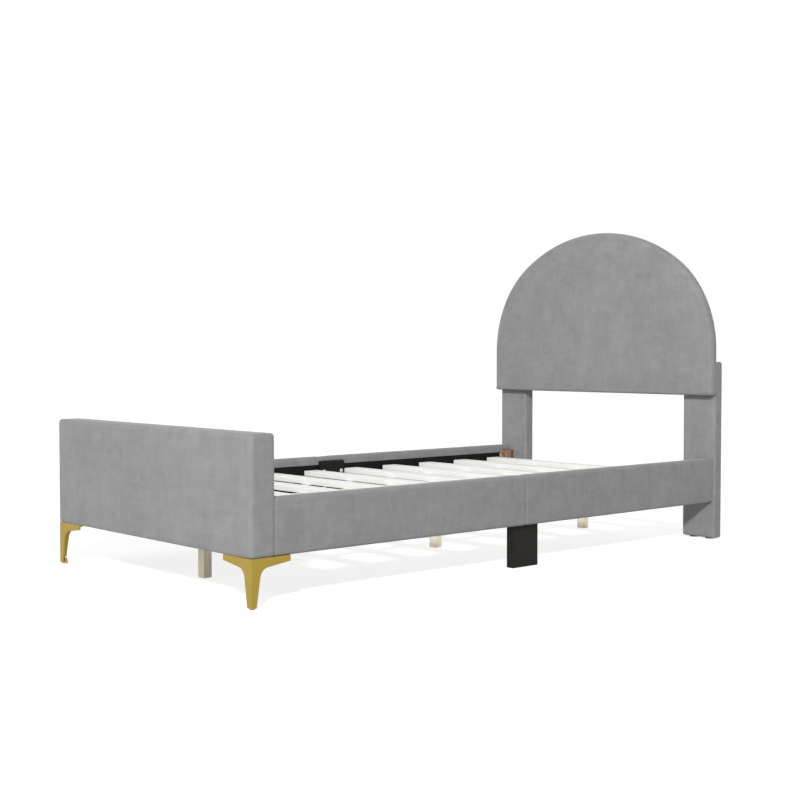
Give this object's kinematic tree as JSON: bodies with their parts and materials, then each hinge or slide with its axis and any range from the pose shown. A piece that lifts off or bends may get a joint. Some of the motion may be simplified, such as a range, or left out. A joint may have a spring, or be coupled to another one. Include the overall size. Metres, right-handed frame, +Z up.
{
  "type": "upholstered platform bed",
  "caption": "Twin-size velvet platform bed with an arched headboard on two posts, a padded footboard on gold corner legs, split side rails and a slatted base.",
  "frame": {"origin": "on the floor under the middle of the bed's bounding box", "axes": "+Z up, +Y from the footboard to the headboard, +X to the right-hand side seen from the foot end"},
  "size_m": [1.0906, 2.107, 1.1549],
  "materials": {
    "grey_velvet": "short grey velvet with soft mottling",
    "foam": "cream upholstery foam",
    "black_cloth": "black non-woven lining cloth",
    "white_webbing": "white woven ribbon",
    "black_board": "black satin laminate on a board",
    "brown_wood": "bare brown softwood",
    "tan_wood": "bare tan softwood",
    "core_wood": "bare board and battens",
    "pale_wood": "pale bare softwood",
    "slat_wood": "whitish laminated slat",
    "gold_metal": "satin gold finish on metal",
    "steel": "zinc-plated steel",
    "pale_plastic": "pale plastic glide",
    "black_plastic": "black plastic pad"
  },
  "bodies": {
    "bed": {"centre_beam": "pale_wood", "centre_leg_bolts": "steel", "corner_bolts": "steel", "foot_centre_leg": "pale_wood", "footboard_back_panel": "core_wood", "footboard_cover": "grey_velvet", "footboard_foam": "foam", "footboard_frame": "core_wood", "footboard_front_panel": "core_wood", "gold_leg_screws": "steel", "head_centre_leg": "pale_wood", "headboard_back_cloth": "black_cloth", "headboard_board": "core_wood", "headboard_bolts": "steel", "headboard_cover": "grey_velvet", "headboard_foam": "foam", "left_foot_corner_block": "brown_wood", "left_foot_rail_board": "core_wood", "left_foot_rail_cover": "grey_velvet", "left_foot_rail_lining": "black_cloth", "left_foot_slat_ledge": "tan_wood", "left_gold_leg": "gold_metal", "left_head_corner_block": "brown_wood", "left_head_rail_board": "core_wood", "left_head_rail_cover": "grey_velvet", "left_head_rail_lining": "black_cloth", "left_head_slat_ledge": "tan_wood", "left_mid_leg": "black_board", "left_post_core": "core_wood", "left_post_cover": "grey_velvet", "mid_leg_bolts": "steel", "middle_centre_leg": "pale_wood", "post_glides": "black_plastic", "right_foot_corner_block": "brown_wood", "right_foot_rail_board": "core_wood", "right_foot_rail_cover": "grey_velvet", "right_foot_rail_lining": "black_cloth", "right_foot_slat_ledge": "tan_wood", "right_gold_leg": "gold_metal", "right_head_corner_block": "brown_wood", "right_head_rail_board": "core_wood", "right_head_rail_cover": "grey_velvet", "right_head_rail_lining": "black_cloth", "right_head_slat_ledge": "tan_wood", "right_mid_leg": "black_board", "right_post_core": "core_wood", "right_post_cover": "grey_velvet", "slat_01": "slat_wood", "slat_02": "slat_wood", "slat_03": "slat_wood", "slat_04": "slat_wood", "slat_05": "slat_wood", "slat_06": "slat_wood", "slat_07": "slat_wood", "slat_08": "slat_wood", "slat_09": "slat_wood", "slat_10": "slat_wood", "slat_ribbons": "white_webbing"},
    "left_glide": {"left_leg_glide": "pale_plastic"},
    "right_glide": {"right_leg_glide": "pale_plastic"}
  },
  "joints": [
    {"name": "left_glide_travel", "type": "slide", "parent": "bed", "child": "left_glide", "axis": [0, 0, -1], "range_m": [0, 0.008]},
    {"name": "right_glide_travel", "type": "slide", "parent": "bed", "child": "right_glide", "axis": [0, 0, -1], "range_m": [0, 0.008]}
  ]
}
